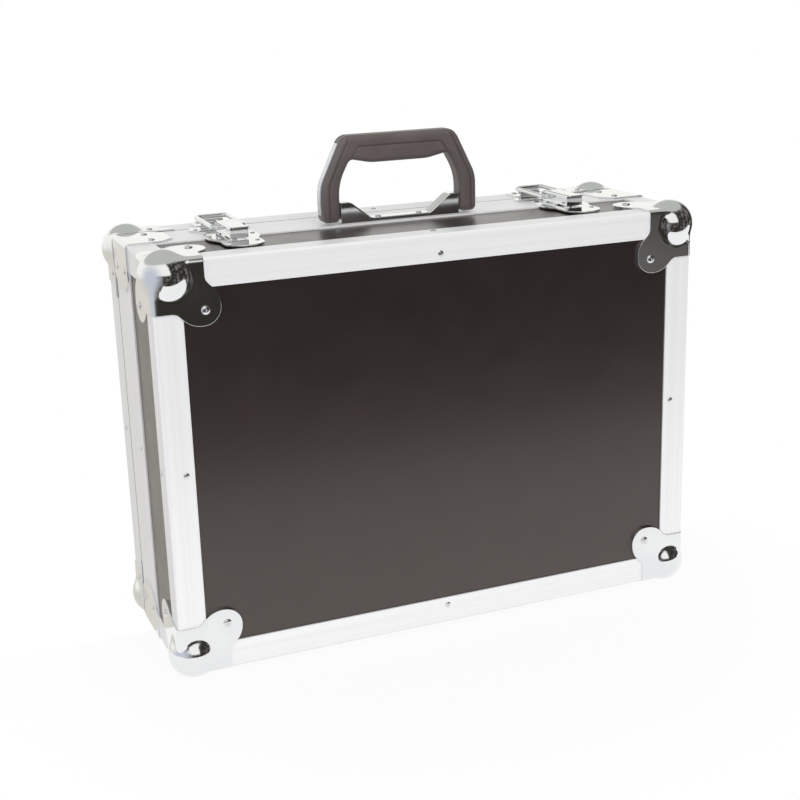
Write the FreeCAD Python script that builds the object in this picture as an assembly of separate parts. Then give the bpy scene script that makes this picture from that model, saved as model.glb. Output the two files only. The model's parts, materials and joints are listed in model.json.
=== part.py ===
import FreeCAD, Part
import math
import os

# Foam-lined flight case: deep base in front, shallow lid behind, hinged along the bottom side.
# Modelled with x across, y as depth from the front face, z up from the bottom side (mm).
# It is moved at the end, so that the ball corners stand on z = 0 and the depth is centred.

V = FreeCAD.Vector
X_AXIS = V(1, 0, 0)
Y_AXIS = V(0, 1, 0)
Z_AXIS = V(0, 0, 1)
DIAGONAL = V(1, 1, 1)
TINY = 1e-6

# Case over its aluminium profiles
case_width = 480.0
case_height = 346.0
base_depth = 132.5
lid_depth = 31.3
parting_gap = 1.2

# Panels and edge profiles
panel = 7.0
sheet = 1.5
edge_front_leg = 23.5
edge_side_leg = 21.0
edge_depth_leg = 22.0
edge_round = 2.2
profile_end_gap = 0.5

# Closing profiles: a tongue round the lid enters a groove round the base
rim_band = 53.5
rim_flange = 4.5
rim_inner_leg = 10.5
groove_width = 3.6
groove_depth = 2.5
tongue_side_gap = 0.5
tongue_end_gap = 0.6
lid_flange = 3.5

# Ball corners
ball_radius = 21.0
ball_inset = 14.0
ball_cover = 2.0
flare_radius = 18.0
corner_leg = 42.0
corner_sheet = 1.3
lobe_reach = 53.5
lobe_round = 14.5
lobe_shoulder = 20.0
neck_start = 17.8
neck_round = 8.0
corner_round = 5.0

# Corner braces on the base's closing band
brace_leg = 40.0
brace_taper = 11.0
brace_margin = 1.2
brace_round = 3.3

# Foam
foam_floor = 15.0
foam_wall = 15.0
foam_recess = 0.5
foam_fit = 0.3
lid_foam_recess = 5.0

# Hinges along the bottom of the parting line
hinge_inset = 90.0
hinge_length = 60.0
hinge_leaf = 22.0
hinge_sheet = 1.3
hinge_barrel = 2.3
hinge_drop = 2.7
hinge_pin = 1.2
hinge_fit = 0.05
hinge_knuckles = 5
knuckle_gap = 0.3
leaf_clear = 0.9
leaf_tab = 0.6

# Draw latches on the top side
latch_inset = 86.5
latch_sheet = 1.5
plate_end_gap = 4.5
plate_length = 103.0
tongue_half = 16.5
tongue_length = 30.0
tongue_run = 12.0
plate_half = 22.0
plate_waist = 14.0
plate_flare = 27.0
plate_side_back = 40.0
plate_waist_back = 29.0
plate_flare_back = 12.0
plate_front_flat = 3.0
plate_side_round = 8.0
plate_flare_round = 4.0
plate_back_round = 3.0
lever_pivot_back = 36.5
lever_pivot_height = 7.0
lever_length = 43.0
lever_half = 7.5
lever_lip = 4.0
lever_lip_inset = 1.5
lever_sheet = 1.2
lever_top = 5.0
lever_bottom = 4.5
lever_web_start = 5.0
lever_round = 2.0
lever_pin = 1.5
latch_fit = 0.05
ear_gap = 0.4
ear_sheet = 1.2
ear_half = 4.0
ear_crown = 3.3
bail_wire = 2.0
bail_half = 13.5
bail_bend = 4.0
bail_offset = 12.0
bail_lift = 0.5
bail_rest_gap = 0.3
bail_end_gap = 0.3
keeper_half = 15.0
keeper_front_gap = 1.6
keeper_length = 25.0
keeper_round = 4.0
hook_inset = 6.5
hook_half = 10.0
hook_top = 6.0
hook_radius = 2.6
hook_sheet = 1.2
hook_tail = 0.8

# Handle and its bracket
handle_inset = 43.0
handle_half_depth = 9.0
handle_lift = 2.0
handle_height = 72.5
foot_half = 71.5
foot_width = 16.0
shoulder_height = 31.0
crown_inset = 20.0
crown_round = 11.0
shoulder_round = 30.0
foot_round = 5.0
inner_flare = 0.2
inner_height = 33.0
grip_inset = 26.5
grip_height = 52.5
grip_swell = 4.0
swell_inset = 19.0
swell_round = 40.0
inner_round = 45.0
edge_soft = 4.5
groove_inset = 6.0
groove_line = 1.1
groove_cut = 0.9
panel_inset = 7.0
panel_height = 63.0
panel_round = 2.5
pivot_height = 13.0
pivot_pin = 2.5
pivot_head = 3.2
pivot_head_length = 2.6
pivot_depth = 10.5
pivot_fit = 0.05
trim_half = 4.2
trim_seat = 0.7
trim_proud = 0.4
trim_rib = 0.5
trim_rib_width = 1.7
trim_rib_step = 2.9
trim_start = 7.0
trim_end = 66.0
bracket_half_depth = 6.5
bracket_sheet = 2.0
bracket_gap = 0.6
bracket_base = 3.5
bracket_height = 18.5
bracket_flat = 9.0
bracket_soft = 1.2
ramp_run = 19.0
ramp_round = 8.0

# Sizes that follow
skin = sheet + panel
rim_inside = skin + sheet
rim_start = base_depth - rim_band
lid_start = base_depth + parting_gap
case_depth = lid_start + lid_depth
profile_start = max(edge_front_leg, edge_side_leg, edge_depth_leg) + profile_end_gap
foot_lift = ball_radius - ball_inset
relief_leg = 3 * ball_inset - math.sqrt(3) * (ball_radius - ball_cover)
groove_near = (rim_inside - groove_width) / 2
groove_far = groove_near + groove_width
half_width = case_width / 2
plate_back = base_depth - plate_end_gap
lever_pivot_depth = base_depth - lever_pivot_back
bail_pivot_depth = lever_pivot_depth - bail_offset
hook_depth = lid_start + hook_inset
bail_arm = hook_depth - bail_pivot_depth
handle_depth = base_depth - handle_inset
crown_half = foot_half - crown_inset
inner_half = foot_half - foot_width + inner_flare
grip_half = foot_half - grip_inset
swell_half = grip_half - swell_inset
panel_half = grip_half - panel_inset
side_names = ("top", "bottom", "left", "right")
hand_names = {"left": -1, "right": 1}

nodes = {}


def box(x0, x1, y0, y1, z0, z1):
    return Part.makeBox(x1 - x0, y1 - y0, z1 - z0, V(x0, y0, z0))


def polygon_face(points):
    return Part.Face(Part.makePolygon(points + [points[0]]))


def joined(shapes):
    result = shapes[0].fuse(shapes[1:]) if len(shapes) > 1 else shapes[0]
    return result.removeSplitter()


def group(shapes):
    return Part.makeCompound([solid for shape in shapes for solid in shape.Solids])


def cylinder_x(radius, x0, x1, y, z):
    return Part.makeCylinder(radius, x1 - x0, V(x0, y, z), X_AXIS)


def rounded_wire(corners):
    """Closed wire through (point, radius) corners, each rounded by a tangent arc."""
    stations = []
    for index, (point, radius) in enumerate(corners):
        if radius == 0:
            stations.append((point, None, point))
            continue
        back = (corners[index - 1][0] - point).normalize()
        ahead = (corners[(index + 1) % len(corners)][0] - point).normalize()
        half_angle = back.getAngle(ahead) / 2
        reach = radius / math.tan(half_angle)
        towards_centre = (back + ahead).normalize()
        middle = point + towards_centre * (radius / math.sin(half_angle) - radius)
        stations.append((point + back * reach, middle, point + ahead * reach))
    edges = []
    for index, (start, middle, end) in enumerate(stations):
        if middle is not None:
            edges.append(Part.Arc(start, middle, end).toShape())
        following = stations[(index + 1) % len(stations)][0]
        if end.distanceToPoint(following) > TINY:
            edges.append(Part.LineSegment(end, following).toShape())
    return Part.Wire(edges)


def ribbon(points, inner, outer, bend=0):
    """Face along an open line in the XZ plane, from offset inner to offset outer on its right.

    The line's own corners are rounded by bend.
    """
    ways = [(end - start).normalize() for start, end in zip(points, points[1:])]
    normals = [V(way.z, 0, -way.x) for way in ways]
    rails = {inner: [], outer: []}
    for index, point in enumerate(points):
        before = max(index - 1, 0)
        after = min(index, len(ways) - 1)
        mitre = (normals[before] + normals[after]) * (1 / (1 + normals[before].dot(normals[after])))
        turn = ways[before].x * ways[after].z - ways[before].z * ways[after].x
        for offset, rail in rails.items():
            radius = 0 if before == after else bend + math.copysign(1, turn) * offset
            rail.append((point + mitre * offset, radius))
    return Part.Face(rounded_wire(rails[inner] + rails[outer][::-1]))


def extrude_y(face, y0, y1):
    solid = face.extrude(Y_AXIS * (y1 - y0))
    solid.translate(Y_AXIS * y0)
    return solid


def side_length(side):
    return case_width if side in ("top", "bottom") else case_height


def on_side(shape, side):
    """Moves a shape from its own frame (outer face at z = 0, inside below) to a side of the case."""
    angle = {"top": 0, "right": 90, "bottom": 180, "left": -90}[side]
    offset = {
        "top": V(0, 0, case_height),
        "bottom": V(0, 0, 0),
        "right": V(half_width, 0, case_height / 2),
        "left": V(-half_width, 0, case_height / 2),
    }[side]
    placed = shape.copy()
    placed.rotate(V(0, 0, 0), Y_AXIS, angle)
    placed.translate(offset)
    return placed


def member(face, length):
    """Profile section in the YZ plane, extruded along x about the middle."""
    solid = face.extrude(X_AXIS * length)
    solid.translate(X_AXIS * (-length / 2))
    return solid


def mitred(face, length, depth):
    """Member cut at 45 degrees at both ends, for a frame of four."""
    reach = case_depth
    corners = [
        V(-length / 2, -reach, 0),
        V(length / 2, -reach, 0),
        V(length / 2 - depth, -reach, -depth),
        V(-length / 2 + depth, -reach, -depth),
    ]
    wedge = polygon_face(corners).extrude(Y_AXIS * (3 * reach))
    return member(face, length).common(wedge)


def angle_section(front_leg, side_leg, flip_at=None):
    """Rounded L section, its front leg down the y = 0 face, or down the y = flip_at face."""
    def point(y, z):
        return V(0, y if flip_at is None else flip_at - y, z)

    corners = [
        (point(0, 0), edge_round),
        (point(side_leg, 0), 0),
        (point(side_leg, -sheet), 0),
        (point(sheet, -sheet), 0),
        (point(sheet, -front_leg), 0),
        (point(0, -front_leg), 0),
    ]
    return Part.Face(rounded_wire(corners))


def corner_relief(depth, inward):
    """Four small tetrahedra that take the sharp corners off a panel under the ball corners."""
    size = relief_leg
    tools = []
    for x_sign in (-1, 1):
        for z, z_sign in ((0, 1), (case_height, -1)):
            tip = V(x_sign * half_width, depth, z)
            legs = [V(-x_sign * size, 0, 0), V(0, inward * size, 0), V(0, 0, z_sign * size)]
            ring = [tip + leg for leg in legs]
            faces = [polygon_face(ring)]
            for first, second in ((0, 1), (1, 2), (2, 0)):
                faces.append(polygon_face([tip, ring[first], ring[second]]))
            tools.append(Part.Solid(Part.Shell(faces)))
    return tools


def make_panels():
    front = box(-half_width + sheet, half_width - sheet, sheet, skin, sheet, case_height - sheet)
    back = box(-half_width + sheet, half_width - sheet, case_depth - skin, case_depth - sheet,
               sheet, case_height - sheet)
    nodes["base_front_panel"] = front.cut(corner_relief(0, 1))
    nodes["lid_panel"] = back.cut(corner_relief(case_depth, -1))
    spans = {
        "base_{}_panel": (skin, base_depth - rim_flange),
        "lid_{}_wall": (lid_start + lid_flange, case_depth - skin),
    }
    for name, (y0, y1) in spans.items():
        for side in side_names:
            inset = skin if side in ("top", "bottom") else sheet
            half = side_length(side) / 2 - inset
            nodes[name.format(side)] = on_side(box(-half, half, y0, y1, -skin, -sheet), side)


def make_edges():
    front = angle_section(edge_front_leg, edge_side_leg)
    lid = angle_section(edge_front_leg, lid_depth, flip_at=case_depth)
    for side in side_names:
        length = side_length(side) - 2 * profile_start
        nodes["base_front_edge_" + side] = on_side(member(front, length), side)
        nodes["lid_edge_" + side] = on_side(member(lid, length), side)
    corners = [
        (V(0, 0, 0), edge_round),
        (V(edge_depth_leg, 0, 0), 0),
        (V(edge_depth_leg, 0, -sheet), 0),
        (V(sheet, 0, -sheet), 0),
        (V(sheet, 0, -edge_depth_leg), 0),
        (V(0, 0, -edge_depth_leg), 0),
    ]
    left_top = extrude_y(Part.Face(rounded_wire(corners)), profile_start, rim_start)
    left_top.translate(V(-half_width, 0, case_height))
    nodes["base_depth_edges"] = group(at_four_edges(left_top))


def at_four_edges(shape):
    """A shape at the top left depth edge, mirrored to the other three."""
    right = shape.mirror(V(0, 0, 0), X_AXIS)
    middle = V(0, 0, case_height / 2)
    return [shape, right, shape.mirror(middle, Z_AXIS), right.mirror(middle, Z_AXIS)]


def make_rims():
    base_points = [
        (rim_start, 0),
        (base_depth, 0),
        (base_depth, groove_near),
        (base_depth - groove_depth, groove_near),
        (base_depth - groove_depth, groove_far),
        (base_depth, groove_far),
        (base_depth, rim_inside),
        (base_depth - rim_inner_leg, rim_inside),
        (base_depth - rim_inner_leg, skin),
        (base_depth - rim_flange, skin),
        (base_depth - rim_flange, sheet),
        (rim_start, sheet),
    ]
    tongue_tip = base_depth - groove_depth + tongue_end_gap
    tongue_near = groove_near + tongue_side_gap
    tongue_far = groove_far - tongue_side_gap
    lid_points = [
        (lid_start, sheet),
        (lid_start, tongue_near),
        (tongue_tip, tongue_near),
        (tongue_tip, tongue_far),
        (lid_start, tongue_far),
        (lid_start, rim_inside),
        (lid_start + rim_inner_leg, rim_inside),
        (lid_start + rim_inner_leg, skin),
        (lid_start + lid_flange, skin),
        (lid_start + lid_flange, sheet),
    ]
    for name, points in (("base_rim_", base_points), ("lid_rim_", lid_points)):
        face = polygon_face([V(0, y, -depth) for y, depth in points])
        for side in side_names:
            rim = mitred(face, side_length(side), 2 * rim_inside)
            nodes[name + side] = on_side(rim, side)


def lobed_outline(outside):
    """Outline of one plate of a ball corner, in the XY plane with the case corner at the origin.

    It reaches past the corner by outside, so that it also takes in the ball.
    """
    side = [
        (V(corner_leg, -outside, 0), 0),
        (V(corner_leg, neck_start, 0), neck_round),
        (V(lobe_reach, neck_start + lobe_reach - corner_leg, 0), lobe_shoulder),
    ]
    other_side = [(V(point.y, point.x, 0), radius) for point, radius in reversed(side)]
    tip = (V(lobe_reach, lobe_reach, 0), lobe_round)
    corner = (V(-outside, -outside, 0), 0)
    return Part.Face(rounded_wire(side + [tip] + other_side + [corner]))


def outer_block(start, reach):
    """Block with its three edges at the case corner rounded, and the corner itself taken off."""
    block = box(start, reach, start, reach, start, reach)
    sharp = [edge for edge in block.Edges if edge_near(edge, start)]
    corner = box(-reach, ball_inset, -reach, ball_inset, -reach, ball_inset)
    return block.makeFillet(corner_round, sharp).cut(corner)


def edge_near(edge, start):
    """True for the three edges of a block that meet at the case corner."""
    near = 0
    for axis in ("x", "y", "z"):
        places = {round(getattr(vertex.Point, axis), 6) for vertex in edge.Vertexes}
        near += places == {round(start, 6)}
    return near == 2


def on_ball(edge, centre):
    """True for an edge where the ball meets another face."""
    span = edge.LastParameter - edge.FirstParameter
    points = [edge.valueAt(edge.FirstParameter + share * span) for share in (0, 0.25, 0.5, 0.75)]
    return all(abs(point.distanceToPoint(centre) - ball_radius) < 1000 * TINY for point in points)


def flared_ball(start, reach):
    """Block with the ball at its corner, blended into it all round as the pressing is."""
    centre = V(ball_inset, ball_inset, ball_inset)
    ball = Part.makeSphere(ball_radius)
    ball.Placement = FreeCAD.Placement(centre, FreeCAD.Rotation(DIAGONAL, V(0, 0, 0), V(1, -1, 0), "XZY"))
    body = outer_block(start, reach).fuse(ball)
    seam = []
    for edge in body.Edges:
        faces = body.ancestorsOfType(edge, Part.Face)
        if len(faces) == 2 and on_ball(edge, centre):
            seam.append(edge)
    return body.makeFillet(flare_radius, seam)


def ball_corner(depth_limit, depth_seat):
    """One pressed corner at the origin, the case lying towards +x, +y and +z.

    depth_limit ends its plates along y, and depth_seat is how far its edge sits on the panels there.
    """
    reach = 3 * corner_leg
    start = -corner_sheet
    outline = lobed_outline(reach)
    plate = outline.extrude(Z_AXIS * -reach)
    seat = outline.extrude(Z_AXIS * sheet)
    seat = seat.common(box(profile_start, reach, profile_start, reach, 0, reach))
    edge = box(-reach, corner_round, -reach, corner_round, -reach, corner_leg)
    core = profile_start - profile_end_gap
    rooms = [box(-reach, core, -reach, depth_seat, -reach, core)]
    for turn in (0, 120, 240):
        for part in (plate, seat, edge):
            turned = part.copy()
            turned.rotate(V(0, 0, 0), DIAGONAL, turn)
            rooms.append(turned)
    room = rooms[0].fuse(rooms[1:]).common(box(-reach, reach, -reach, depth_limit, -reach, reach))
    inside = box(sheet, reach, sheet, reach, sheet, reach)
    cut_plane = polygon_face([V(relief_leg, 0, 0), V(0, relief_leg, 0), V(0, 0, relief_leg)])
    relief = cut_plane.extrude(DIAGONAL * -relief_leg)
    return flared_ball(start, reach).common(room).cut(inside.cut(relief))


def place_corner(shape, depth, inward):
    """Four copies of a corner at the given depth, mirrored to face inwards."""
    flipped = shape if inward > 0 else shape.mirror(V(0, 0, 0), Y_AXIS)
    copies = []
    for x_sign in (-1, 1):
        for z, z_sign in ((0, 1), (case_height, -1)):
            copy = flipped if x_sign < 0 else flipped.mirror(V(0, 0, 0), X_AXIS)
            copy = copy if z_sign > 0 else copy.mirror(V(0, 0, 0), Z_AXIS)
            copy = copy.copy()
            copy.translate(V(x_sign * half_width, depth, z))
            copies.append(copy)
    return copies


def make_corners():
    profiles = [nodes["base_front_edge_" + side] for side in side_names]
    profiles += nodes["base_depth_edges"].Solids
    base = ball_corner(rim_start, profile_start - profile_end_gap)
    nodes["base_ball_corners"] = group([corner.cut(profiles) for corner in place_corner(base, 0, 1)])
    lid = ball_corner(lid_depth, lid_depth)
    profiles = [nodes["lid_edge_" + side] for side in side_names]
    placed = place_corner(lid, case_depth, -1)
    nodes["lid_ball_corners"] = group([corner.cut(profiles) for corner in placed])


def make_braces():
    y0 = rim_start + brace_margin
    y1 = base_depth - brace_margin
    start = -corner_sheet
    outline = [V(start, y0, 0), V(brace_leg - brace_taper, y0, 0), V(brace_leg, y0 + brace_taper, 0),
               V(brace_leg, y1 - brace_taper, 0), V(brace_leg - brace_taper, y1, 0), V(start, y1, 0)]
    top = polygon_face(outline).extrude(Z_AXIS * corner_sheet)
    side = top.copy()
    side.rotate(V(0, 0, 0), Y_AXIS, 90)
    side.translate(V(-corner_sheet, 0, 0))
    block = box(start, 2 * brace_leg, y0, y1, -2 * brace_leg, corner_sheet)
    sharp = [edge for edge in block.Edges
             if all(abs(v.X - start) < TINY and abs(v.Z - corner_sheet) < TINY for v in edge.Vertexes)]
    brace = top.fuse(side).common(block.makeFillet(brace_round, sharp)).removeSplitter()
    brace.translate(V(-half_width, 0, case_height))
    nodes["base_corner_braces"] = group(at_four_edges(brace))


def make_foam():
    half = half_width - skin - foam_fit
    z0 = skin + foam_fit
    z1 = case_height - skin - foam_fit
    y0 = skin + foam_fit
    y1 = y0 + foam_floor
    nodes["base_foam_floor"] = box(-half, half, y0, y1, z0, z1)
    top = base_depth - rim_inner_leg - foam_recess
    for side in side_names:
        inset = skin + foam_fit
        if side in ("left", "right"):
            inset += foam_wall + foam_fit
        length = side_length(side) / 2 - inset
        wall = box(-length, length, y1 + foam_fit, top, -skin - foam_fit - foam_wall, -skin - foam_fit)
        nodes["base_foam_wall_" + side] = on_side(wall, side)
    inset = rim_inside + foam_fit
    nodes["lid_foam"] = box(-half_width + inset, half_width - inset, lid_start + lid_foam_recess,
                            case_depth - skin - foam_fit, inset, case_height - inset)


def hinge_leaf_at(x, direction, own, bore):
    """One leaf with its knuckles. direction is -1 towards the base and 1 towards the lid."""
    axis_y = base_depth + parting_gap / 2
    inner = hinge_barrel + leaf_clear

    def span(y0, y1, x0, x1):
        low, high = sorted((axis_y + direction * y0, axis_y + direction * y1))
        return box(x0, x1, low, high, -hinge_sheet, 0)

    parts = [span(inner, hinge_leaf, x - hinge_length / 2, x + hinge_length / 2)]
    pitch = hinge_length / hinge_knuckles
    for index in own:
        x0 = x - hinge_length / 2 + index * pitch + knuckle_gap / 2
        x1 = x0 + pitch - knuckle_gap
        parts.append(span(leaf_tab, inner, x0, x1))
        parts.append(cylinder_x(hinge_barrel, x0, x1, axis_y, -hinge_drop))
    hole = cylinder_x(bore, x - hinge_length, x + hinge_length, axis_y, -hinge_drop)
    return joined(parts).cut(hole)


def make_hinges():
    axis_y = base_depth + parting_gap / 2
    pins = []
    for hand, sign in hand_names.items():
        x = sign * (half_width - hinge_inset)
        base_own = range(0, hinge_knuckles, 2)
        lid_own = range(1, hinge_knuckles, 2)
        nodes["hinge_base_leaf_" + hand] = hinge_leaf_at(x, -1, base_own, hinge_pin)
        nodes["hinge_lid_leaf_" + hand] = hinge_leaf_at(x, 1, lid_own, hinge_pin + hinge_fit)
        pins.append(cylinder_x(hinge_pin, x - hinge_length / 2, x + hinge_length / 2, axis_y, -hinge_drop))
    nodes["hinge_pins"] = group(pins)


def latch_plate():
    """Base plate of a latch at x = 0 with two ears, on the top side at z = 0."""
    front = plate_back - plate_length
    tongue_end = front + tongue_length
    right = [
        (V(tongue_half, front, 0), tongue_half - plate_front_flat / 2),
        (V(tongue_half, tongue_end, 0), plate_side_round),
        (V(plate_half, tongue_end + tongue_run, 0), plate_side_round),
        (V(plate_half, plate_back - plate_side_back, 0), plate_side_round),
        (V(plate_waist, plate_back - plate_waist_back, 0), plate_side_round),
        (V(plate_flare, plate_back - plate_flare_back, 0), plate_flare_round),
        (V(plate_half, plate_back, 0), plate_back_round),
    ]
    left = [(V(-point.x, point.y, 0), radius) for point, radius in reversed(right)]
    plate = Part.Face(rounded_wire(right + left)).extrude(Z_AXIS * latch_sheet)
    outer = lever_half - lever_sheet - ear_gap
    ears = []
    for sign in (-1, 1):
        x0, x1 = sorted((sign * outer, sign * (outer - ear_sheet)))
        ears.append(box(x0, x1, lever_pivot_depth - ear_half, lever_pivot_depth + ear_half,
                        latch_sheet, lever_pivot_height))
        ears.append(cylinder_x(ear_crown, x0, x1, lever_pivot_depth, lever_pivot_height))
    hole = cylinder_x(lever_pin, -lever_half, lever_half, lever_pivot_depth, lever_pivot_height)
    return joined([plate] + ears).cut(hole)


def latch_lever():
    """Lever of a latch at x = 0: a channel, open below, with a finger lip on its free front end."""
    front = lever_pivot_depth - lever_length
    top = lever_pivot_height + lever_top
    bottom = lever_pivot_height - lever_bottom
    block = box(-lever_half, lever_half, front, lever_pivot_depth, bottom, top)
    rims = [edge for edge in block.Edges
            if edge.BoundBox.ZMin > top - TINY and edge.BoundBox.YLength > lever_length / 2]
    channel = block.makeFillet(lever_round, rims)
    inner = lever_half - lever_sheet
    web_bottom = top - lever_sheet
    channel = channel.cut(box(-inner, inner, front + lever_sheet, lever_pivot_depth, bottom, web_bottom))
    lip_half = lever_half - lever_lip_inset
    channel = channel.fuse(box(-lip_half, lip_half, front - lever_lip, front, web_bottom, top))
    web_start = lever_pivot_depth - lever_web_start
    channel = channel.cut(box(-inner, inner, web_start, lever_pivot_depth, bottom, top))
    for sign in (-1, 1):
        x0, x1 = sorted((sign * inner, sign * lever_half))
        channel = channel.fuse(cylinder_x(lever_bottom, x0, x1, lever_pivot_depth, lever_pivot_height))
    reach = 2 * lever_half
    holes = [
        cylinder_x(lever_pin + latch_fit, -reach, reach, lever_pivot_depth, lever_pivot_height),
        cylinder_x(bail_wire + latch_fit, -reach, reach, bail_pivot_depth, lever_pivot_height + bail_lift),
    ]
    return channel.cut(holes).removeSplitter()


def latch_bail():
    """Wire loop of a latch at x = 0, from its holes in the lever to just above the keeper's hook."""
    start_z = lever_pivot_height + bail_lift
    stub = lever_half - lever_sheet + bail_end_gap
    corners = [V(stub, 0, 0), V(bail_half, 0, 0), V(bail_half, bail_arm, 0), V(-bail_half, bail_arm, 0),
               V(-bail_half, 0, 0), V(-stub, 0, 0)]
    edges = []
    last = corners[0]
    for before, corner, after in zip(corners, corners[1:], corners[2:]):
        back = (before - corner).normalize()
        ahead = (after - corner).normalize()
        start = corner + back * bail_bend
        end = corner + ahead * bail_bend
        middle = corner + (back + ahead).normalize() * (bail_bend * (math.sqrt(2) - 1))
        if last.distanceToPoint(start) > TINY:
            edges.append(Part.LineSegment(last, start).toShape())
        edges.append(Part.Arc(start, middle, end).toShape())
        last = end
    edges.append(Part.LineSegment(last, corners[-1]).toShape())
    section = Part.Wire(Part.Circle(corners[0], X_AXIS, bail_wire).toShape())
    loop = Part.Wire(edges).makePipeShell([section], True, False)
    rest_height = hook_top + bail_rest_gap + bail_wire
    slope = math.degrees(math.asin((rest_height - start_z) / bail_arm))
    loop.rotate(V(0, 0, 0), X_AXIS, slope)
    loop.translate(V(0, bail_pivot_depth, start_z))
    return loop


def latch_keeper():
    """Keeper plate on the lid at x = 0, with a rolled hook that opens to the back."""
    y0 = lid_start + keeper_front_gap
    y1 = y0 + keeper_length
    corners = [(V(x, y, 0), keeper_round) for x, y in
               ((-keeper_half, y0), (keeper_half, y0), (keeper_half, y1), (-keeper_half, y1))]
    plate = Part.Face(rounded_wire(corners)).extrude(Z_AXIS * latch_sheet)
    curl_z = hook_top - hook_radius
    curl_y = hook_depth
    inner = hook_radius - hook_sheet
    ring = cylinder_x(hook_radius, -hook_half, hook_half, curl_y, curl_z)
    ring = ring.cut(cylinder_x(inner, -hook_half, hook_half, curl_y, curl_z))
    upper = box(-hook_half, hook_half, curl_y - hook_radius, curl_y + hook_radius, curl_z, hook_top)
    ring = ring.common(upper)
    leg = box(-hook_half, hook_half, curl_y - hook_radius, curl_y - inner, latch_sheet, curl_z)
    tail = box(-hook_half, hook_half, curl_y + inner, curl_y + hook_radius, curl_z - hook_tail, curl_z)
    return joined([plate, leg, ring, tail])


def make_latches():
    pins = []
    pieces = {
        "latch_plate_": latch_plate(),
        "latch_lever_": latch_lever(),
        "latch_bail_": latch_bail(),
        "latch_keeper_": latch_keeper(),
    }
    for hand, sign in hand_names.items():
        place = V(sign * (half_width - latch_inset), 0, case_height)
        for name, shape in pieces.items():
            copy = shape.copy()
            copy.translate(place)
            nodes[name + hand] = copy
        pin = cylinder_x(lever_pin, -lever_half - ear_gap, lever_half + ear_gap, lever_pivot_depth,
                         lever_pivot_height)
        pin.translate(place)
        pins.append(pin)
    nodes["latch_lever_pins"] = group(pins)


def outer_side(inset):
    """Line up the right outer side of the handle, from its foot to the crown."""
    return [V(foot_half - inset, 0, 0), V(foot_half - inset, 0, shoulder_height),
            V(crown_half - inset, 0, handle_height)]


def make_handle():
    right = [
        (V(foot_half, 0, 0), foot_round),
        (V(foot_half, 0, shoulder_height), shoulder_round),
        (V(crown_half, 0, handle_height), crown_round),
    ]
    left = [(V(-point.x, 0, point.z), radius) for point, radius in reversed(right)]
    inside_left = [
        (V(-foot_half + foot_width, 0, 0), foot_round),
        (V(-inner_half, 0, inner_height), inner_round),
        (V(-grip_half, 0, grip_height), foot_round),
        (V(-swell_half, 0, grip_height - grip_swell), swell_round),
    ]
    inside_right = [(V(-point.x, 0, point.z), radius) for point, radius in reversed(inside_left)]
    outline = right + left + inside_left + inside_right
    grip = extrude_y(Part.Face(rounded_wire(outline)), -handle_half_depth, handle_half_depth)
    rims = [edge for edge in grip.Edges if edge.BoundBox.YLength < TINY]
    grip = grip.makeFillet(edge_soft, rims)
    side_line = outer_side(groove_inset)
    side_bend = shoulder_round - groove_inset
    panel_line = [V(-grip_half, 0, grip_height), V(-panel_half, 0, panel_height),
                  V(panel_half, 0, panel_height), V(grip_half, 0, grip_height)]
    grooves = [
        (side_line, side_bend),
        ([V(-point.x, 0, point.z) for point in side_line], side_bend),
        (panel_line, panel_round),
    ]
    for line, bend in grooves:
        face = ribbon(line, -groove_line / 2, groove_line / 2, bend)
        for sign in (-1, 1):
            y0, y1 = sorted((sign * (handle_half_depth - groove_cut), sign * 2 * handle_half_depth))
            grip = grip.cut(extrude_y(face, y0, y1))
    trims = []
    for sign in (-1, 1):
        line = trim_line(sign)
        near, far = -sign * trim_seat, sign * trim_proud
        strap = [extrude_y(ribbon(line, near, far, shoulder_round), -trim_half, trim_half)]
        for rib in (-1, 0, 1):
            y = rib * trim_rib_step
            face = ribbon(line, near, sign * (trim_proud + trim_rib), shoulder_round)
            strap.append(extrude_y(face, y - trim_rib_width / 2, y + trim_rib_width / 2))
        trims.append(joined(strap))
    pivot = pivot_height - handle_lift
    inner_face = foot_half - foot_width
    bores = []
    for sign in (-1, 1):
        x0, x1 = sorted((sign * (inner_face - pivot_depth), sign * (inner_face + pivot_depth + pivot_fit)))
        bores.append(cylinder_x(pivot_pin + pivot_fit, x0, x1, 0, pivot))
    grip = grip.cut(trims + bores)
    place = V(0, handle_depth, case_height + handle_lift)
    trim = group(trims)
    for name, shape in (("handle_grip", grip), ("handle_trim", trim)):
        shape.translate(place)
        nodes[name] = shape


def trim_line(sign):
    """Outer side of the handle between the ends of the chrome trim, on the side given by sign."""
    slope = (foot_half - crown_half) / (handle_height - shoulder_height)
    end_half = foot_half - slope * (trim_end - shoulder_height)
    return [V(sign * foot_half, 0, trim_start), V(sign * foot_half, 0, shoulder_height),
            V(sign * end_half, 0, trim_end)]


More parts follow.
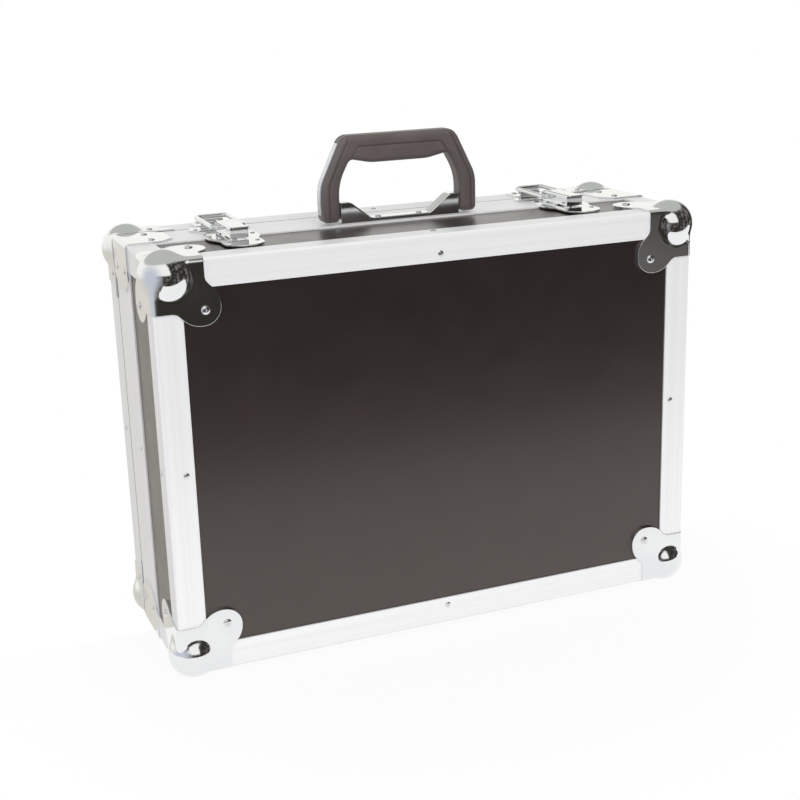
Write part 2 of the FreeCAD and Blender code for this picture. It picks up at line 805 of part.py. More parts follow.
def make_bracket():
    end = foot_half - foot_width - bracket_gap
    ramp_top = end - bracket_flat
    ramp_foot = ramp_top - ramp_run
    rise = (bracket_height - bracket_base) / ramp_run
    drop = bracket_sheet * math.sqrt(1 + rise ** 2)
    ceiling = bracket_height - bracket_sheet
    outer = [(V(ramp_foot, 0, bracket_base), ramp_round), (V(ramp_top, 0, bracket_height), ramp_round),
             (V(end, 0, bracket_height), 0), (V(end, 0, 0), 0)]
    outline = outer + [(V(-p.x, 0, p.z), radius) for p, radius in reversed(outer)]
    bracket = extrude_y(Part.Face(rounded_wire(outline)), -bracket_half_depth, bracket_half_depth)
    rims = [edge for edge in bracket.Edges
            if edge.BoundBox.YLength < TINY and edge.BoundBox.ZMax > TINY and edge.BoundBox.XLength > TINY]
    bracket = bracket.makeFillet(bracket_soft, rims)
    hollow = [
        V(ramp_foot + (drop - bracket_base) / rise, 0, 0),
        V(ramp_foot + (ceiling - bracket_base + drop) / rise, 0, ceiling),
        V(end - bracket_sheet, 0, ceiling),
        V(end - bracket_sheet, 0, 0),
    ]
    hollow_half = bracket_half_depth - bracket_sheet
    place = V(0, handle_depth, case_height)
    pins = []
    for sign in (-1, 1):
        face = polygon_face([V(sign * p.x, 0, p.z) for p in hollow])
        bracket = bracket.cut(extrude_y(face, -hollow_half, hollow_half))
        head_end = end - bracket_sheet
        tip = foot_half - foot_width + pivot_depth
        x0, x1 = sorted((sign * head_end, sign * tip))
        h0, h1 = sorted((sign * (head_end - pivot_head_length), sign * head_end))
        pin = joined([cylinder_x(pivot_pin, x0, x1, 0, pivot_height),
                      cylinder_x(pivot_head, h0, h1, 0, pivot_height)])
        bracket = bracket.cut(cylinder_x(pivot_pin, x0, x1, 0, pivot_height))
        pin.translate(place)
        pins.append(pin)
    bracket.translate(place)
    nodes["handle_bracket"] = bracket
    nodes["handle_pivot_pins"] = group(pins)


make_panels()
make_edges()
make_rims()
make_corners()
make_braces()
make_foam()
make_hinges()
make_latches()
make_handle()
make_bracket()

os.makedirs("parts", exist_ok=True)
for name, shape in nodes.items():
    shape.translate(V(0, -case_depth / 2, foot_lift))
    shape.exportStep("parts/" + name + ".step")
    print(name, len(shape.Solids), round(shape.Volume, 1), shape.isValid())
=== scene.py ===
import json
import math

import bmesh
import bpy
from mathutils import Matrix, Vector, noise


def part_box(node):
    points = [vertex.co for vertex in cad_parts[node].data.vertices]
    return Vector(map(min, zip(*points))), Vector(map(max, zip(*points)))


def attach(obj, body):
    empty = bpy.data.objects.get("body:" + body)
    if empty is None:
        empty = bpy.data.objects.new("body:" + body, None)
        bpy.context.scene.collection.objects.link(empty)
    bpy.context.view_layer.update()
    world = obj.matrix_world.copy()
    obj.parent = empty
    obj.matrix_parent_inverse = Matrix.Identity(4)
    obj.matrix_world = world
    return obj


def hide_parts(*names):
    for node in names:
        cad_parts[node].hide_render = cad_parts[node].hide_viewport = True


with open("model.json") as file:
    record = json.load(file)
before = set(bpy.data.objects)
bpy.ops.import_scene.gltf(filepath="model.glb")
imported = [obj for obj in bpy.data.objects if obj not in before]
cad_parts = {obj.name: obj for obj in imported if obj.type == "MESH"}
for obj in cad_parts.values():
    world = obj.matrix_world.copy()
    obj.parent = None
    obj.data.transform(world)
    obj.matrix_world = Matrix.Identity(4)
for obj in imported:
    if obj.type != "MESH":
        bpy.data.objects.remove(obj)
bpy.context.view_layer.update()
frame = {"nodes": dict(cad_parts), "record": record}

# Places taken from the frame, in metres
front_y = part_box("base_front_edge_top")[0].y
back_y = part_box("lid_edge_top")[1].y
left_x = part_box("base_rim_left")[0].x
right_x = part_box("base_rim_right")[1].x
bottom_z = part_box("base_rim_bottom")[0].z
top_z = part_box("base_rim_top")[1].z
middle_z = (bottom_z + top_z) / 2
rim_front_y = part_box("base_rim_top")[0].y
rim_back_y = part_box("base_rim_top")[1].y
lid_front_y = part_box("lid_edge_top")[0].y

# The four corners seen from the front: X and Z, each with the sign that leads inwards
corners = [(x, x_sign, z, z_sign)
           for x, x_sign in ((left_x, 1), (right_x, -1))
           for z, z_sign in ((bottom_z, 1), (top_z, -1))]

# Photograph's viewpoint: focal length in image widths, place, and the camera's own axes
SENSOR = 36.0
FOCAL_SHARE = 1.75132
CAMERA_PLACE = Vector((-0.45536, -1.11716, 0.5504))
CAMERA_RIGHT = Vector((0.92423, -0.38072, -0.02903))
CAMERA_UP = Vector((0.13487, 0.25436, 0.95766))

# Radii of the rivet heads, in metres
CORNER_RIVET = 0.0036
EDGE_RIVET = 0.0026
HARDWARE_RIVET = 0.0028
PLATE_RIVET = 0.0020

# Form of a rivet head: its height as a share of its radius, its foot and rim as shares of its height,
# the angles of its dome in degrees, and the mandrel's dimple as shares of its radius and height
RIVET_HEIGHT = 0.42
RIVET_FOOT = -0.05
RIVET_RIM = 0.18
RIVET_DOME = (15, 30, 45, 60, 75)
RIVET_DIMPLE = ((0.22, 0.98), (0.18, 0.72), (0.0, 0.66))
RIVET_STEPS = 24

# How far the pressed corners stand out from the profiles, less a little so that the heads sit in them
CORNER_FACE = 0.0013

# Colour sockets of a Mix node
MIX_FIRST, MIX_SECOND, MIX_RESULT = 6, 7, 2


def new_material(name):
    """New material, with its node tree and its main shader."""
    material = bpy.data.materials.new(name)
    material.use_nodes = True
    tree = material.node_tree
    shader = next(node for node in tree.nodes if node.type == "BSDF_PRINCIPLED")
    return material, tree, shader


def add(tree, kind, **values):
    """New node with inputs or properties set by name."""
    node = tree.nodes.new(kind)
    for key, value in values.items():
        if key in node.inputs:
            node.inputs[key].default_value = value
        else:
            setattr(node, key, value)
    return node


def place_on_surface(tree, scale=(1, 1, 1)):
    """Object coordinates, stretched by scale."""
    coordinates = add(tree, "ShaderNodeTexCoord")
    mapping = add(tree, "ShaderNodeMapping", Scale=scale)
    tree.links.new(coordinates.outputs["Object"], mapping.inputs["Vector"])
    return mapping.outputs["Vector"]


def noise_on(tree, vector, scale, detail=4.0, roughness=0.55):
    """Value of a noise texture."""
    texture = add(tree, "ShaderNodeTexNoise", Scale=scale, Detail=detail, Roughness=roughness)
    tree.links.new(vector, texture.inputs["Vector"])
    return texture.outputs["Fac"]


def cells_on(tree, vector, scale, feature):
    """Distance in a cell texture."""
    texture = add(tree, "ShaderNodeTexVoronoi", feature=feature, Scale=scale)
    tree.links.new(vector, texture.inputs["Vector"])
    return texture.outputs["Distance"]


def spread(tree, value, low, high, start=0.3, end=0.7):
    """Maps values from start to end onto the range from low to high, and holds others at its ends."""
    node = add(tree, "ShaderNodeMapRange")
    node.inputs["From Min"].default_value = start
    node.inputs["From Max"].default_value = end
    node.inputs["To Min"].default_value = low
    node.inputs["To Max"].default_value = high
    tree.links.new(value, node.inputs["Value"])
    return node.outputs["Result"]


def two_colours(tree, value, first, second, start=0.3, end=0.7):
    """Colour that turns from the first to the second as a value goes from start to end."""
    ramp = add(tree, "ShaderNodeValToRGB")
    ramp.color_ramp.elements[0].position = start
    ramp.color_ramp.elements[1].position = end
    ramp.color_ramp.elements[0].color = (*first, 1)
    ramp.color_ramp.elements[1].color = (*second, 1)
    tree.links.new(value, ramp.inputs["Fac"])
    return ramp.outputs["Color"]


def blend_colours(tree, share, first, second):
    """Mix of two colours, each a socket or a constant, by a share from 0 to 1."""
    mix = add(tree, "ShaderNodeMix", data_type="RGBA")
    tree.links.new(share, mix.inputs["Factor"])
    for index, colour in ((MIX_FIRST, first), (MIX_SECOND, second)):
        if isinstance(colour, tuple):
            mix.inputs[index].default_value = (*colour, 1)
        else:
            tree.links.new(colour, mix.inputs[index])
    return mix.outputs[MIX_RESULT]


def rounded_normal(tree, radius):
    """Normal that rounds the shading of edges."""
    return add(tree, "ShaderNodeBevel", samples=6, Radius=radius).outputs["Normal"]


def bump(tree, height, strength, distance, normal=None):
    """Normal of a fine relief, on top of another one if given."""
    node = add(tree, "ShaderNodeBump", Strength=strength, Distance=distance)
    tree.links.new(height, node.inputs["Height"])
    if normal is not None:
        tree.links.new(normal, node.inputs["Normal"])
    return node.outputs["Normal"]


def vary_finish(tree, shader, value, dark, light, smooth, rough):
    """Base colour and roughness that change together with a value."""
    tree.links.new(two_colours(tree, value, dark, light), shader.inputs["Base Color"])
    tree.links.new(spread(tree, value, smooth, rough), shader.inputs["Roughness"])


def panel_film():
    """Dark brown film face of the plywood panels under a clear lacquer, with a faint orange peel."""
    dark, light = (0.0148, 0.0088, 0.0105), (0.0180, 0.0108, 0.0126)
    material, tree, shader = new_material("panel_film")
    vector = place_on_surface(tree)
    cloud = noise_on(tree, vector, scale=9.0)
    tree.links.new(two_colours(tree, cloud, dark, light), shader.inputs["Base Color"])
    smear = noise_on(tree, vector, scale=35.0, detail=6.0)
    tree.links.new(spread(tree, smear, low=0.33, high=0.40), shader.inputs["Roughness"])
    shader.inputs["Specular IOR Level"].default_value = 1.0
    shader.inputs["Specular Tint"].default_value = (1.0, 0.88, 0.78, 1)
    shader.inputs["Coat Weight"].default_value = 0.4
    shader.inputs["Coat Roughness"].default_value = 0.22
    peel = noise_on(tree, vector, scale=900.0, detail=3.0)
    tree.links.new(bump(tree, peel, strength=0.06, distance=0.0003), shader.inputs["Normal"])
    return material


def drawn_noise(tree, axis, across, detail):
    """Noise stretched along an axis, like the lines on a drawn profile."""
    along = 2.0
    scale = [along if name == axis else across for name in "xyz"]
    return noise_on(tree, place_on_surface(tree, scale), scale=1.0, detail=detail)


def aluminium(axis, painted_gap_shade=False):
    """Pale anodised profile with faint drawn lines along the axis it was extruded on.

    A lid's profile gets painted shade where it closes on the base: its face in the closing gap is
    coloured near-black.
    """
    # The third colour is near-black painted shade for the closing gap on a lid's profile.
    dull, bright, gap_shade_colour = (0.90, 0.90, 0.905), (0.95, 0.95, 0.952), (0.012, 0.012, 0.012)
    seam_start, seam_end = lid_front_y + 0.0001, lid_front_y + 0.0003
    prefix = "lid_" if painted_gap_shade else ""
    material, tree, shader = new_material(prefix + "aluminium_along_" + axis)
    lines = drawn_noise(tree, axis, across=900.0, detail=3.0)
    bands = drawn_noise(tree, axis, across=240.0, detail=2.0)
    colour = two_colours(tree, bands, dull, bright)
    # Painted shade of the closing gap: the lid profile is near-black up to 0.1 mm behind its front face,
    # fading out by 0.3 mm.
    if painted_gap_shade:
        place = add(tree, "ShaderNodeSeparateXYZ")
        tree.links.new(place_on_surface(tree), place.inputs["Vector"])
        in_gap_shade = spread(tree, place.outputs["Y"], 0.0, 1.0, seam_start, seam_end)
        colour = blend_colours(tree, in_gap_shade, gap_shade_colour, colour)
    tree.links.new(colour, shader.inputs["Base Color"])
    shader.inputs["Metallic"].default_value = 0.22
    tree.links.new(spread(tree, lines, low=0.34, high=0.46), shader.inputs["Roughness"])
    normal = rounded_normal(tree, radius=0.0005)
    relief = bump(tree, lines, strength=0.08, distance=0.0002, normal=normal)
    tree.links.new(relief, shader.inputs["Normal"])
    return material


def chrome():
    """Bright plated steel with faint smears and softened sheet edges."""
    dark, light = (0.80, 0.81, 0.82), (0.88, 0.885, 0.89)
    material, tree, shader = new_material("chrome_plate")
    vector = place_on_surface(tree)
    cloud = noise_on(tree, vector, scale=22.0, detail=5.0)
    vary_finish(tree, shader, cloud, dark, light, smooth=0.045, rough=0.09)
    shader.inputs["Metallic"].default_value = 1.0
    normal = rounded_normal(tree, radius=0.0007)
    ripple = noise_on(tree, vector, scale=60.0, detail=2.0)
    relief = bump(tree, ripple, strength=0.03, distance=0.0006, normal=normal)
    tree.links.new(relief, shader.inputs["Normal"])
    return material


def steel():
    """Steel of the pins, with a grain that is longer along them."""
    dark, light = (0.50, 0.50, 0.51), (0.62, 0.62, 0.63)
    grain_scale = (300, 1500, 1500)
    material, tree, shader = new_material("pin_steel")
    grain = noise_on(tree, place_on_surface(tree, grain_scale), scale=1.0, detail=3.0)
    vary_finish(tree, shader, grain, dark, light, smooth=0.22, rough=0.34)
    shader.inputs["Metallic"].default_value = 1.0
    tree.links.new(rounded_normal(tree, radius=0.0003), shader.inputs["Normal"])
    return material


def rivet_metal():
    """Slightly clouded bright metal of the rivet heads."""
    dark, light = (0.72, 0.72, 0.73), (0.84, 0.84, 0.85)
    material, tree, shader = new_material("rivet_metal")
    cloud = noise_on(tree, place_on_surface(tree), scale=400.0, detail=3.0)
    vary_finish(tree, shader, cloud, dark, light, smooth=0.12, rough=0.22)
    shader.inputs["Metallic"].default_value = 1.0
    return material


def grip_plastic():
    """Dark brown moulded grip with a fine leather-like grain and softly rounded edges."""
    dark, light = (0.100, 0.080, 0.078), (0.126, 0.102, 0.098)
    material, tree, shader = new_material("grip_plastic")
    vector = place_on_surface(tree)
    cloud = noise_on(tree, vector, scale=28.0, detail=5.0)
    vary_finish(tree, shader, cloud, dark, light, smooth=0.36, rough=0.46)
    shader.inputs["Specular IOR Level"].default_value = 0.8
    grain = cells_on(tree, vector, scale=1500.0, feature="DISTANCE_TO_EDGE")
    normal = rounded_normal(tree, radius=0.0025)
    relief = bump(tree, grain, strength=0.25, distance=0.0002, normal=normal)
    tree.links.new(relief, shader.inputs["Normal"])
    return material


def foam_cells():
    """Charcoal open-cell foam, with painted shade darkening the pits of its pores."""
    dark, light = (0.012, 0.012, 0.013), (0.05, 0.05, 0.053)
    material, tree, shader = new_material("foam_cells")
    pores = cells_on(tree, place_on_surface(tree), scale=700.0, feature="F1")
    # The pits at the cells' middles, where the bump sinks, are painted darker: painted shade in the
    # pores.
    colour = two_colours(tree, pores, dark, light, start=0.1, end=0.6)
    tree.links.new(colour, shader.inputs["Base Color"])
    shader.inputs["Roughness"].default_value = 0.95
    shader.inputs["Specular IOR Level"].default_value = 0.15
    shader.inputs["Sheen Weight"].default_value = 0.25
    tree.links.new(bump(tree, pores, strength=0.6, distance=0.0008), shader.inputs["Normal"])
    return material


def floor_paper(lift, near, far):
    """White paper that keeps the object's shadow near it, and blends into the backdrop further out."""
    material, tree, shader = new_material("floor_paper")
    tree.nodes.remove(shader)
    output = next(node for node in tree.nodes if node.type == "OUTPUT_MATERIAL")
    diffuse = add(tree, "ShaderNodeBsdfDiffuse", Color=(0.80, 0.80, 0.80, 1))
    glow = add(tree, "ShaderNodeEmission", Color=(1, 1, 1, 1), Strength=1.0)
    path = add(tree, "ShaderNodeLightPath")
    seen = add(tree, "ShaderNodeMath", operation="ADD", use_clamp=True)
    tree.links.new(path.outputs["Is Camera Ray"], seen.inputs[0])
    tree.links.new(path.outputs["Is Glossy Ray"], seen.inputs[1])
    distance = add(tree, "ShaderNodeVectorMath", operation="LENGTH")
    tree.links.new(place_on_surface(tree), distance.inputs[0])
    share = add(tree, "ShaderNodeMath", operation="MULTIPLY")
    tree.links.new(seen.outputs[0], share.inputs[0])
    tree.links.new(spread(tree, distance.outputs["Value"], lift, 1.0, near, far), share.inputs[1])
    mix = add(tree, "ShaderNodeMixShader")
    tree.links.new(share.outputs[0], mix.inputs["Fac"])
    tree.links.new(diffuse.outputs[0], mix.inputs[1])
    tree.links.new(glow.outputs[0], mix.inputs[2])
    tree.links.new(mix.outputs[0], output.inputs["Surface"])
    return material


def dress_nodes():
    """Gives every CAD node the finish of its slot, with the profiles drawn along their length."""
    finishes = {
        "panel": panel_film(),
        "chrome": chrome(),
        "steel": steel(),
        "grip": grip_plastic(),
        "foam": foam_cells(),
    }
    drawn = {axis: aluminium(axis) for axis in "xyz"}
    # Lid edge profiles get the near-black painted shade of the closing gap.
    closing = {axis: aluminium(axis, painted_gap_shade=True) for axis in "xz"}
    slots = {row["node"]: row["material_slot"] for row in frame["record"]["subparts"]}
    for name, piece in frame["nodes"].items():
        slot = slots[name]
        if slot == "aluminium":
            axis = "z" if name.endswith(("left", "right")) else "x"
            if name == "base_depth_edges":
                axis = "y"
            finish = closing[axis] if name.startswith("lid_edge") else drawn[axis]
        else:
            finish = finishes[slot]
        piece.data.materials.clear()
        piece.data.materials.append(finish)
    return finishes


def mesh_from(build, name):
    """Mesh of a finished build."""
    mesh = bpy.data.meshes.new(name)
    build.to_mesh(mesh)
    build.free()
    return mesh


def mesh_object(name, mesh, body, finish):
    """Piece that rides on a body."""
    piece = bpy.data.objects.new(name, mesh)
    bpy.context.scene.collection.objects.link(piece)
    mesh.materials.append(finish)
    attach(piece, body)
    return piece


def rivet_profile(radius):
    """Half section of a domed blind rivet head, from its foot to the dimple of its mandrel."""
    height = radius * RIVET_HEIGHT
    points = [(radius, RIVET_FOOT * height), (radius, RIVET_RIM * height)]
    for degrees in RIVET_DOME:
        angle = math.radians(degrees)
        level = RIVET_RIM + (1 - RIVET_RIM) * math.sin(angle)
        points.append((radius * math.cos(angle), height * level))
    points += [(across * radius, level * height) for across, level in RIVET_DIMPLE]
    return points


def add_rivet(build, place, normal, radius):
    """One rivet head at a place on a face with the given normal."""
    turn = normal.to_track_quat("Z", "Y").to_matrix().to_4x4()
    to_face = Matrix.Translation(place) @ turn
    rings = []
    for ring_radius, height in rivet_profile(radius):
        if ring_radius == 0:
            rings.append([build.verts.new(to_face @ Vector((0, 0, height)))])
            continue
        ring = []
        for step in range(RIVET_STEPS):
            angle = 2 * math.pi * step / RIVET_STEPS
            offset = Vector((ring_radius * math.cos(angle), ring_radius * math.sin(angle), height))
            ring.append(build.verts.new(to_face @ offset))
        rings.append(ring)
    for lower, upper in zip(rings, rings[1:]):
        for step in range(RIVET_STEPS):
            following = (step + 1) % RIVET_STEPS
            if len(upper) == 1:
                build.faces.new((lower[step], lower[following], upper[0]))
            else:
                build.faces.new((lower[step], lower[following], upper[following], upper[step]))
    build.faces.new(list(reversed(rings[0])))


def rivet_group(name, body, spots, finish):
    """One piece of many rivet heads. Each spot is a place, a normal and a radius."""
    build = bmesh.new()
    for place, normal, radius in spots:
        add_rivet(build, Vector(place), Vector(normal), radius)
    mesh = mesh_from(build, name)
    mesh.polygons.foreach_set("use_smooth", [True] * len(mesh.polygons))
    mesh_object(name, mesh, body, finish)


def corner_rivets():
    """Spots on the lobes of the ball corners, and on the short sides of the lid's."""
    lobe = 0.041
    short_along, short_depth = 0.033, 0.0215
    side_y, short_y = front_y + lobe, back_y - short_depth
    base, lid = [], []
    for x, x_sign, z, z_sign in corners:
        face_x, face_z = x - x_sign * CORNER_FACE, z - z_sign * CORNER_FACE
        inner_x, inner_z = x + x_sign * lobe, z + z_sign * lobe
        short_x, short_z = x + x_sign * short_along, z + z_sign * short_along
        base.append(((inner_x, front_y - CORNER_FACE, inner_z), (0, -1, 0), CORNER_RIVET))
        base.append(((inner_x, side_y, face_z), (0, 0, -z_sign), CORNER_RIVET))
        base.append(((face_x, side_y, inner_z), (-x_sign, 0, 0), CORNER_RIVET))
        lid.append(((inner_x, back_y + CORNER_FACE, inner_z), (0, 1, 0), CORNER_RIVET))
        lid.append(((short_x, short_y, face_z), (0, 0, -z_sign), EDGE_RIVET))
        lid.append(((face_x, short_y, short_z), (-x_sign, 0, 0), EDGE_RIVET))
    return base, lid


def ring_spots(face_y, outward):
    """Spots at the middle of the four profiles round the front or the back, on their faces and sides."""
    leg, depth = 0.0165, 0.0145
    side_y = face_y - outward * depth
    spots = [
        ((0, face_y, top_z - leg), (0, outward, 0)),
        ((0, face_y, bottom_z + leg), (0, outward, 0)),
        ((left_x + leg, face_y, middle_z), (0, outward, 0)),
        ((right_x - leg, face_y, middle_z), (0, outward, 0)),
        ((0, side_y, top_z), (0, 0, 1)),
        ((0, side_y, bottom_z), (0, 0, -1)),
        ((left_x, side_y, middle_z), (-1, 0, 0)),
        ((right_x, side_y, middle_z), (1, 0, 0)),
    ]
    return [(*spot, EDGE_RIVET) for spot in spots]


def edge_rivets():
    """Spots at the middle of each edge profile, and of the base's closing band except on top."""
    rim_inset = 0.009
    rim_y = rim_front_y + rim_inset
    rim = [
        ((0, rim_y, bottom_z), (0, 0, -1), EDGE_RIVET),
        ((left_x, rim_y, middle_z), (-1, 0, 0), EDGE_RIVET),
        ((right_x, rim_y, middle_z), (1, 0, 0), EDGE_RIVET),
    ]
    return ring_spots(front_y, -1) + rim, ring_spots(back_y, 1)


def brace_rivets():
    """Two spots on each leg of the four corner braces."""
    inset, spacing = 0.023, 0.028
    middle_y = (rim_front_y + rim_back_y) / 2
    spots = []
    for x, x_sign, z, z_sign in corners:
        face_x, face_z = x - x_sign * CORNER_FACE, z - z_sign * CORNER_FACE
        for side in (-1, 1):
            y = middle_y + side * spacing / 2
            spots.append(((x + x_sign * inset, y, face_z), (0, 0, -z_sign), HARDWARE_RIVET))
            spots.append(((face_x, y, z + z_sign * inset), (-x_sign, 0, 0), HARDWARE_RIVET))
    return spots


def hardware_rivets():
    """Spots on the latch plates, keepers, hinge leaves and the handle's bracket."""
    latch_sheet, hinge_sheet, bracket_base = 0.0015, 0.0013, 0.0035
    # Pairs on a latch plate: distances from its middle line and from its front end
    plate_pairs = ((0.0122, 0.019), (0.0182, 0.053), (0.0205, 0.091))
    keeper_half, keeper_inset = 0.0085, 0.0062
    leaf_inset, leaf_shares = 0.0085, (0.15, 0.5, 0.85)
    bracket_half = 0.019
    base, lid = [], []
    for hand in ("left", "right"):
        low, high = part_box("latch_plate_" + hand)
        x = (low.x + high.x) / 2
        for half, depth in plate_pairs:
            for side in (-1, 1):
                place = (x + side * half, low.y + depth, low.z + latch_sheet)
                base.append((place, (0, 0, 1), PLATE_RIVET))
        low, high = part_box("latch_keeper_" + hand)
        for side in (-1, 1):
            place = (x + side * keeper_half, high.y - keeper_inset, low.z + latch_sheet)
            lid.append((place, (0, 0, 1), EDGE_RIVET))
        for node, spots in (("hinge_base_leaf_", base), ("hinge_lid_leaf_", lid)):
            low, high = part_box(node + hand)
            y = low.y + leaf_inset if spots is base else high.y - leaf_inset
            for share in leaf_shares:
                place = (low.x + share * (high.x - low.x), y, high.z - hinge_sheet)
                spots.append((place, (0, 0, -1), HARDWARE_RIVET))
    low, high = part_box("handle_bracket")
    for side in (-1, 1):
        place = (side * bracket_half, (low.y + high.y) / 2, low.z + bracket_base)
        base.append((place, (0, 0, 1), HARDWARE_RIVET))
    return base, lid


def make_rivets():
    """All rivet heads, in groups by kind and body."""
    finish = rivet_metal()
    corner_base, corner_lid = corner_rivets()
    edge_base, edge_lid = edge_rivets()
    hardware_base, hardware_lid = hardware_rivets()
    rivet_group("corner_rivets_base", "base", corner_base + brace_rivets(), finish)
    rivet_group("corner_rivets_lid", "lid", corner_lid, finish)
    rivet_group("edge_rivets_base", "base", edge_base, finish)
    rivet_group("edge_rivets_lid", "lid", edge_lid, finish)
    rivet_group("hardware_rivets_base", "base", hardware_base, finish)
    rivet_group("hardware_rivets_lid", "lid", hardware_lid, finish)


def foam_sheet(node, body, finish, soften=0.003, cell=0.012, sway=0.0005):
    """Foam sheet in a node's space: softened edges, and faces that aren't quite flat."""
    sharp_angle, sway_scale = 0.5, 25
    low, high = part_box(node)
    size = high - low
    centre = (low + high) / 2
    to_box = Matrix.Translation(centre) @ Matrix.Diagonal((*size, 1))
    build = bmesh.new()
    bmesh.ops.create_cube(build, size=1.0, matrix=to_box)
    for axis in range(3):
        cuts = max(1, round(size[axis] / cell))
        normal = Vector([float(index == axis) for index in range(3)])
        for step in range(1, cuts):
            place = low + normal * (size[axis] * step / cuts)
            geometry = build.verts[:] + build.edges[:] + build.faces[:]
            bmesh.ops.bisect_plane(build, geom=geometry, plane_co=place, plane_no=normal)
    sharp = [edge for edge in build.edges if edge.calc_face_angle(0) > sharp_angle]
    bmesh.ops.bevel(build, geom=sharp, offset=soften, segments=3, profile=0.5, affect="EDGES")
    for vertex in build.verts:
        inward = (centre - vertex.co).normalized()
        share = 0.5 + 0.5 * noise.noise(vertex.co * sway_scale)
        vertex.co += inward * sway * share
    mesh = mesh_from(build, node + "_sheet")
    mesh.polygons.foreach_set("use_smooth", [True] * len(mesh.polygons))
    piece = mesh_object(node + "_sheet", mesh, body, finish)
    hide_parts(node)


def egg_crate_pad(node, body, finish, pitch=0.026, depth=0.009, cells=8):
    """Lid pad with rows of soft peaks on its inner face, as convoluted foam is cut."""
    low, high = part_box(node)
    size = high - low
    columns = max(1, round(size.x / pitch)) * cells
    rows = max(1, round(size.z / pitch)) * cells
    build = bmesh.new()
    grid = []
    for row in range(rows + 1):
        line = []
        for column in range(columns + 1):
            wave_x = math.cos(2 * math.pi * column / cells)
            wave_z = math.cos(2 * math.pi * row / cells)
            height = 0.5 + 0.25 * (wave_x + wave_z)
            x = low.x + size.x * column / columns
            z = low.z + size.z * row / rows
            line.append(build.verts.new((x, low.y + depth * height, z)))
        grid.append(line)
    for row in range(rows):
        for column in range(columns):
            build.faces.new((grid[row][column], grid[row][column + 1],
                             grid[row + 1][column + 1], grid[row + 1][column]))
    right_side = [line[-1] for line in grid[1:]]
    left_side = [line[0] for line in grid[-2:0:-1]]
    rim = grid[0] + right_side + grid[-1][-2::-1] + left_side
    backs = [build.verts.new((vertex.co.x, high.y, vertex.co.z)) for vertex in rim]
    for index in range(len(rim)):
        following = (index + 1) % len(rim)
        build.faces.new((rim[following], rim[index], backs[index], backs[following]))
    build.faces.new(backs)
    bmesh.ops.recalc_face_normals(build, faces=build.faces)
    mesh = mesh_from(build, node + "_pad")
    mesh.polygons.foreach_set("use_smooth", [len(face.vertices) == 4 for face in mesh.polygons])
    piece = mesh_object(node + "_pad", mesh, body, finish)
    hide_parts(node)


def make_foam(finish):
    """Flat sheets in the base and an egg-crate pad in the lid."""
    foam_sheet("base_foam_floor", "base", finish)
    for side in ("top", "bottom", "left", "right"):
        foam_sheet("base_foam_wall_" + side, "base", finish)
    egg_crate_pad("lid_foam", "lid", finish)


def make_floor():
    """Paper sheet under the case.

    It ends in front and on the left, so that upright metal sees the room past it. It also ends at the
    hinges, so that the opened lid, which hangs below it, can be seen.
    """
    front_edge, left_edge, right_edge = -0.56, -0.40, 2.2
    back_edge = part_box("hinge_base_leaf_left")[0].y
    mesh = bpy.data.meshes.new("floor")
    outline = [(left_edge, front_edge, 0), (right_edge, front_edge, 0),
               (right_edge, back_edge, 0), (left_edge, back_edge, 0)]
    mesh.from_pydata(outline, [], [(0, 1, 2, 3)])
    floor = bpy.data.objects.new("floor", mesh)
    bpy.context.scene.collection.objects.link(floor)
    mesh.materials.append(floor_paper(lift=0.93, near=0.26, far=0.40))


def towards(tree, direction, axis, start, end):
    """Share that rises from 0 to 1 as a direction turns towards an axis."""
    along = add(tree, "ShaderNodeVectorMath", operation="DOT_PRODUCT")
    along.inputs[1].default_value = axis
    tree.links.new(direction, along.inputs[0])
    return spread(tree, along.outputs["Value"], 0.0, 1.0, start, end)


def join_shares(tree, operation, first, second):
    """Two shares put together by a Math node."""
    node = add(tree, "ShaderNodeMath", operation=operation)
    tree.links.new(first, node.inputs[0])
    tree.links.new(second, node.inputs[1])
    return node.outputs[0]


def room_colour(tree, direction):
    """Colour of a room that only metal and gloss see.

    It is dark with things in it, with a white wall behind, a white screen up in front on the left,
    a bluish window on the left and a grey ceiling.
    """
    up, down = (0, 0, 1), (0, 0, -1)
    screen_side, wall_side = (-0.888, -0.46, 0), (-0.6, 0.8, 0)
    window_side, ceiling_side = (-0.94, -0.34, 0), (0, 0.344, 1)
    shade, things = (0.030, 0.028, 0.024), (0.30, 0.29, 0.28)
    white, low_white = (1.0, 0.995, 0.96), (0.72, 0.70, 0.635)
    window_blue, ceiling_grey = (0.60, 0.64, 0.72), (0.54, 0.55, 0.52)
    raised = towards(tree, direction, up, start=0.12, end=0.22)
    in_front = towards(tree, direction, screen_side, start=0.12, end=0.22)
    screen = join_shares(tree, "MULTIPLY", raised, in_front)
    behind = towards(tree, direction, wall_side, start=-0.1, end=0.3)
    bright = join_shares(tree, "MAXIMUM", screen, behind)
    clutter = noise_on(tree, direction, scale=5.0, detail=3.0)
    dark = two_colours(tree, clutter, shade, things, start=0.46, end=0.76)
    below = towards(tree, direction, down, start=0.02, end=0.2)
    wall = blend_colours(tree, below, white, low_white)
    room = blend_colours(tree, bright, dark, wall)
    window = towards(tree, direction, window_side, start=0.55, end=0.95)
    room = blend_colours(tree, window, room, window_blue)
    ceiling = towards(tree, direction, ceiling_side, start=0.64, end=0.74)
    return blend_colours(tree, ceiling, room, ceiling_grey)


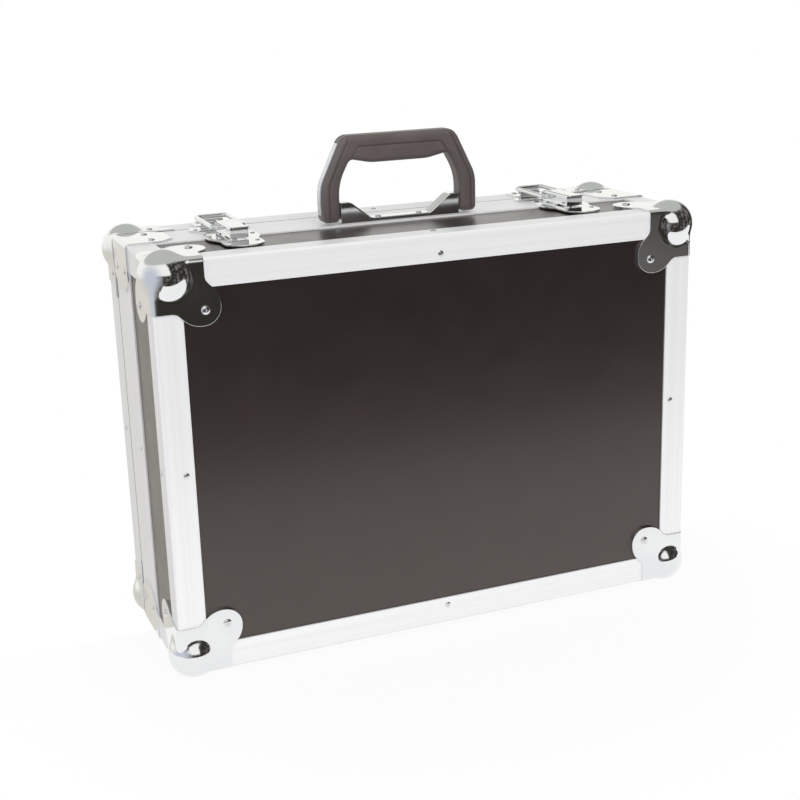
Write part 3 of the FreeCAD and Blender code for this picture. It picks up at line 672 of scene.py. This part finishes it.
def make_world():
    """White backdrop, an even soft fill, and a room for reflections."""
    even_fill, backdrop = (0.66, 0.66, 0.67), (1.0, 1.0, 1.0)
    world = bpy.data.worlds.new("studio")
    world.use_nodes = True
    bpy.context.scene.world = world
    tree = world.node_tree
    background = next(node for node in tree.nodes if node.type == "BACKGROUND")
    direction = add(tree, "ShaderNodeTexCoord").outputs["Generated"]
    room = room_colour(tree, direction)
    path = add(tree, "ShaderNodeLightPath")
    fill = blend_colours(tree, path.outputs["Is Glossy Ray"], even_fill, room)
    seen = blend_colours(tree, path.outputs["Is Camera Ray"], fill, backdrop)
    tree.links.new(seen, background.inputs["Color"])
    background.inputs["Strength"].default_value = 1.0


def area_light(name, place, target, size, power):
    """Soft lamp that gloss doesn't show."""
    data = bpy.data.lights.new(name, "AREA")
    data.shape = "RECTANGLE"
    data.size, data.size_y = size
    data.energy = power
    lamp = bpy.data.objects.new(name, data)
    lamp.location = place
    aim = Vector(target) - Vector(place)
    lamp.rotation_euler = aim.to_track_quat("-Z", "Y").to_euler()
    lamp.visible_glossy = False
    bpy.context.scene.collection.objects.link(lamp)


def make_lights():
    """A broad lamp in front and a weak one on the left."""
    target = (0, 0, 0.18)
    area_light("front_fill", place=(-0.2, -2.4, 1.5), target=target, size=(2.0, 1.3), power=33)
    area_light("left_fill", place=(-1.6, -1.4, 1.6), target=target, size=(0.9, 1.2), power=3)


def make_camera():
    """Camera at the photograph's viewpoint."""
    data = bpy.data.cameras.new("camera")
    data.sensor_width = SENSOR
    data.lens = SENSOR * FOCAL_SHARE
    camera = bpy.data.objects.new("camera", data)
    back = CAMERA_RIGHT.cross(CAMERA_UP)
    axes = Matrix((CAMERA_RIGHT, CAMERA_UP, back)).transposed()
    camera.matrix_world = Matrix.Translation(CAMERA_PLACE) @ axes.to_4x4()
    bpy.context.scene.collection.objects.link(camera)
    bpy.context.scene.camera = camera


finishes = dress_nodes()
make_rivets()
make_foam(finishes["foam"])
make_floor()
make_world()
make_lights()
make_camera()
bpy.context.scene.view_settings.view_transform = "Standard"
